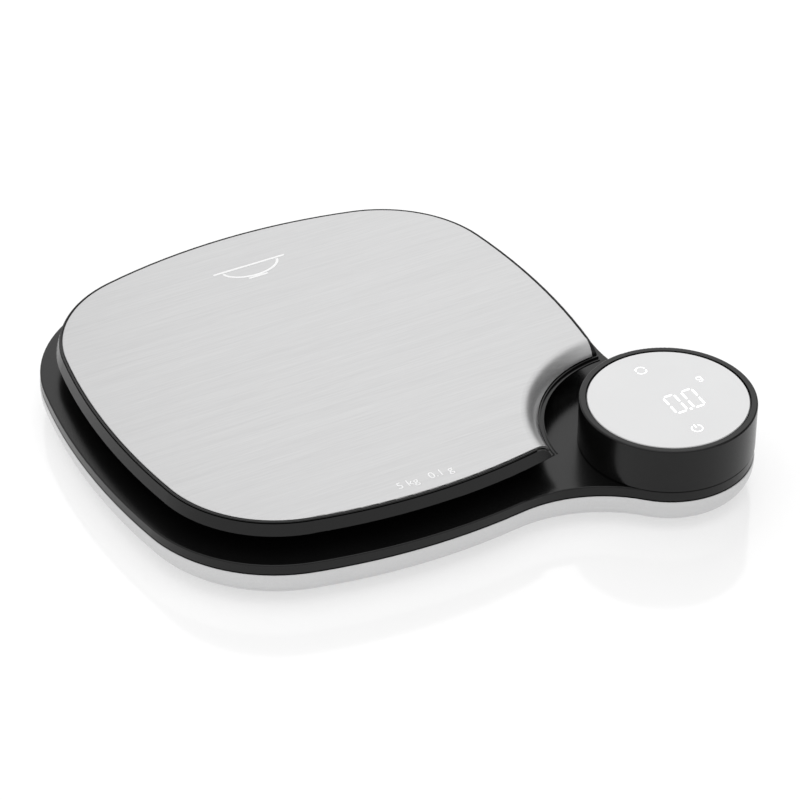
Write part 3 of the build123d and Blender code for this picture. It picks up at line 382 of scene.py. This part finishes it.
def bend_cell():
    """Copies of the load cell, its gauges and its coating in place of the CAD nodes, which are
    hidden.
    """
    for node in ("load_cell", "strain_gauges", "gauge_coating"):
        piece = bpy.data.objects.new(node + "_bending", NODES[node].data.copy())
        bpy.context.scene.collection.objects.link(piece)
        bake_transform(piece)
        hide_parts(node)


# ---- marks: lengths in millimetres from the middle of the head or the plate, angles in degrees --
MARK_HEIGHT = 0.05 * MM
MERGE_DISTANCE = 1e-7
MITRE_LIMIT = 0.4
ARC_STEPS = 24

DIGIT_WIDTH = 5.2
DIGIT_HEIGHT = 11.2
DIGIT_BAR = 0.72
DIGIT_GAP = 0.5
DIGIT_LEAN = 0.05
DIGIT_FOOT = -9.4
DIGIT_LEFT = (-2.4, 5.05)
POINT_PLACE = (3.95, DIGIT_FOOT + 0.45)
POINT_RADIUS = 0.5

UNIT_LEFT = 15.3
UNIT_FOOT = 4.5
UNIT_SIZE = 1.8
UNIT_STROKE = 0.2
UNIT_TAIL_DROP = 0.15
UNIT_TAIL_TURN = -150
UNIT_TAIL_STEPS = 12

ICON_RADIUS = 2.0
ICON_STROKE = 0.28
ARROWS_PLACE = (0.5, 19.4)
ARROW_STARTS = (20, 200)
ARROW_TURN = 120
ARROW_TIP = 160
ARROW_HALF = 0.42
POWER_PLACE = (-0.5, -19.8)
POWER_RING = (125, 415)
POWER_BAR = (0.4, 2.4)

PRINT_STROKE = 1.0
BOWL_RADIUS = 11.5
BOWL_RIM = 67.4
BOWL_OVERHANG = 3.5
BOWL_SIDE = (188, 352)
BOWL_SQUASH = 0.62
BOWL_FOOT = 4.0
FIGURES_LEFT = -16.8
FIGURES_FOOT = -82.6
FIGURES_SIZE = 5.0
FIGURES_CURVE = 4


def arc_points(centre, radius, start, end, steps=ARC_STEPS):
    """Points along an arc, angles in degrees."""
    turn = [radians(start + (end - start) * n / steps) for n in range(steps + 1)]
    return [(centre[0] + radius * cos(a), centre[1] + radius * sin(a)) for a in turn]


def ring_points(centre, radius):
    """Points round a full circle, without the first again at the end."""
    return arc_points(centre, radius, 0, 360)[:-1]


def stroke(points, width, closed=False):
    """Outline quads of a line of even width through points, mitred at its corners."""
    count = len(points)
    left, right = [], []
    for n, point in enumerate(points):
        before = points[n - 1] if n or closed else point
        after = points[(n + 1) % count] if n + 1 < count or closed else point
        ahead = Vector(after) - Vector(point) if after != point else Vector(point) - Vector(before)
        behind = Vector(point) - Vector(before) if before != point else ahead
        along = (ahead.normalized() + behind.normalized()).normalized()
        mitre = max(along.dot(ahead.normalized()), MITRE_LIMIT)
        side = Vector((-along.y, along.x)) * width / 2 / mitre
        left.append(Vector(point) + side)
        right.append(Vector(point) - side)
    last = count if closed else count - 1
    return [[left[n], right[n], right[(n + 1) % count], left[(n + 1) % count]]
            for n in range(last)]


def disc(centre, radius):
    """One round face."""
    return [[Vector(point) for point in ring_points(centre, radius)]]


def bar(start, end):
    """Pointed bar of a seven-segment digit."""
    along = (Vector(end) - Vector(start)).normalized()
    side = Vector((-along.y, along.x)) * DIGIT_BAR / 2
    near = Vector(start) + along * DIGIT_GAP
    far = Vector(end) - along * DIGIT_GAP
    shoulder = along * DIGIT_BAR / 2
    return [near, near + shoulder - side, far - shoulder - side,
            far, far - shoulder + side, near + shoulder + side]


def zero(left):
    """The six lit bars of a leaning seven-segment nought."""
    x0, x1 = left + DIGIT_BAR / 2, left + DIGIT_WIDTH - DIGIT_BAR / 2
    y0, y1 = DIGIT_FOOT + DIGIT_BAR / 2, DIGIT_FOOT + DIGIT_HEIGHT - DIGIT_BAR / 2
    middle = (y0 + y1) / 2
    bars = [bar((x0, y0), (x1, y0)), bar((x0, y1), (x1, y1))]
    for x in (x0, x1):
        bars += [bar((x, y0), (x, middle)), bar((x, middle), (x, y1))]
    return [[Vector((p.x + (p.y - DIGIT_FOOT) * DIGIT_LEAN, p.y)) for p in face] for face in bars]


def unit_mark():
    """Small letter g made of a bowl and a hooked tail."""
    radius = UNIT_SIZE / 2
    bowl = (UNIT_LEFT + radius, UNIT_FOOT + radius)
    hook = (UNIT_LEFT + radius, UNIT_FOOT - UNIT_SIZE * UNIT_TAIL_DROP)
    tail = [(UNIT_LEFT + UNIT_SIZE, UNIT_FOOT + UNIT_SIZE)]
    tail += arc_points(hook, radius, 0, UNIT_TAIL_TURN, UNIT_TAIL_STEPS)
    return stroke(ring_points(bowl, radius), UNIT_STROKE, closed=True) + stroke(tail, UNIT_STROKE)


def turning_arrows():
    """Two arrows that chase each other round a circle."""
    faces = []
    for start in ARROW_STARTS:
        shaft_end = start + ARROW_TURN
        faces += stroke(arc_points(ARROWS_PLACE, ICON_RADIUS, start, shaft_end), ICON_STROKE)
        ends = arc_points(ARROWS_PLACE, ICON_RADIUS, shaft_end, start + ARROW_TIP, 1)
        root, tip = [Vector(p) for p in ends]
        out = (root - Vector(ARROWS_PLACE)).normalized() * ARROW_HALF
        faces.append([root - out, tip, root + out])
    return faces


def power_symbol():
    """Open ring with an upright bar in its gap."""
    ring = stroke(arc_points(POWER_PLACE, ICON_RADIUS, *POWER_RING), ICON_STROKE)
    return ring + stroke([(POWER_PLACE[0], POWER_PLACE[1] + y) for y in POWER_BAR], ICON_STROKE)


def lit_marks():
    """Reading, unit and the two touch symbols behind the lens."""
    faces = [face for left in DIGIT_LEFT for face in zero(left)]
    return (faces + disc(POINT_PLACE, POINT_RADIUS) + unit_mark() + turning_arrows()
            + power_symbol())


def bowl_pictogram():
    """Generic mixing bowl on its foot, printed near the back edge."""
    half_rim = BOWL_RADIUS + BOWL_OVERHANG
    side = [(x, BOWL_RIM + (y - BOWL_RIM) * BOWL_SQUASH)
            for x, y in arc_points((0, BOWL_RIM), BOWL_RADIUS, *BOWL_SIDE)]
    foot = side[len(side) // 2][1] - PRINT_STROKE
    return (stroke([(-half_rim, BOWL_RIM), (half_rim, BOWL_RIM)], PRINT_STROKE)
            + stroke(side, PRINT_STROKE)
            + stroke([(-BOWL_FOOT, foot), (BOWL_FOOT, foot)], PRINT_STROKE))


def emboss(name, faces, place, material, body):
    """Thin raised piece made of flat faces at a place, fixed to a body."""
    mesh = bpy.data.meshes.new(name)
    drawn = bmesh.new()
    for outline in faces:
        drawn.faces.new([drawn.verts.new((p.x * MM, p.y * MM, 0)) for p in outline])
    bmesh.ops.remove_doubles(drawn, verts=drawn.verts[:], dist=MERGE_DISTANCE)
    bmesh.ops.recalc_face_normals(drawn, faces=drawn.faces[:])
    raised = bmesh.ops.extrude_face_region(drawn, geom=drawn.faces[:])
    lifted = [item for item in raised["geom"] if isinstance(item, bmesh.types.BMVert)]
    bmesh.ops.translate(drawn, verts=lifted, vec=(0, 0, MARK_HEIGHT))
    bmesh.ops.recalc_face_normals(drawn, faces=drawn.faces[:])
    drawn.to_mesh(mesh)
    drawn.free()
    mesh.materials.append(material)
    piece = bpy.data.objects.new(name, mesh)
    bpy.context.scene.collection.objects.link(piece)
    piece.location = place
    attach(piece, body)


def figures(name, text, place, material, body):
    """Line of raised figures in a plain face."""
    curve = bpy.data.curves.new(name, "FONT")
    curve.body = text
    curve.size = FIGURES_SIZE * MM
    curve.resolution_u = FIGURES_CURVE
    curve.extrude = MARK_HEIGHT / 2
    drawn = bpy.data.objects.new(name + "_curve", curve)
    bpy.context.scene.collection.objects.link(drawn)
    bpy.context.view_layer.update()
    evaluated = drawn.evaluated_get(bpy.context.evaluated_depsgraph_get())
    mesh = bpy.data.meshes.new_from_object(evaluated)
    bpy.data.objects.remove(drawn)
    mesh.name = name
    mesh.materials.clear()
    mesh.materials.append(material)
    piece = bpy.data.objects.new(name, mesh)
    bpy.context.scene.collection.objects.link(piece)
    shift = Vector((FIGURES_LEFT * MM, FIGURES_FOOT * MM, MARK_HEIGHT / 2))
    piece.location = Vector(place) + shift
    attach(piece, body)


def make_marks():
    """Lit marks on the display and print on the steel."""
    emboss("display_marks", lit_marks(), (HEAD_X, HEAD_Y, Z_LENS), lit_mark(), "base")
    ink = white_print()
    plate_top = (PLATE_X, PLATE_Y, Z_STEEL)
    emboss("plate_pictogram", bowl_pictogram(), plate_top, ink, "platform")
    figures("plate_figures", "5 kg   0.1 g", plate_top, ink, "platform")


make_camera()
make_studio()
finish_cad_nodes()
bend_cell()
make_marks()
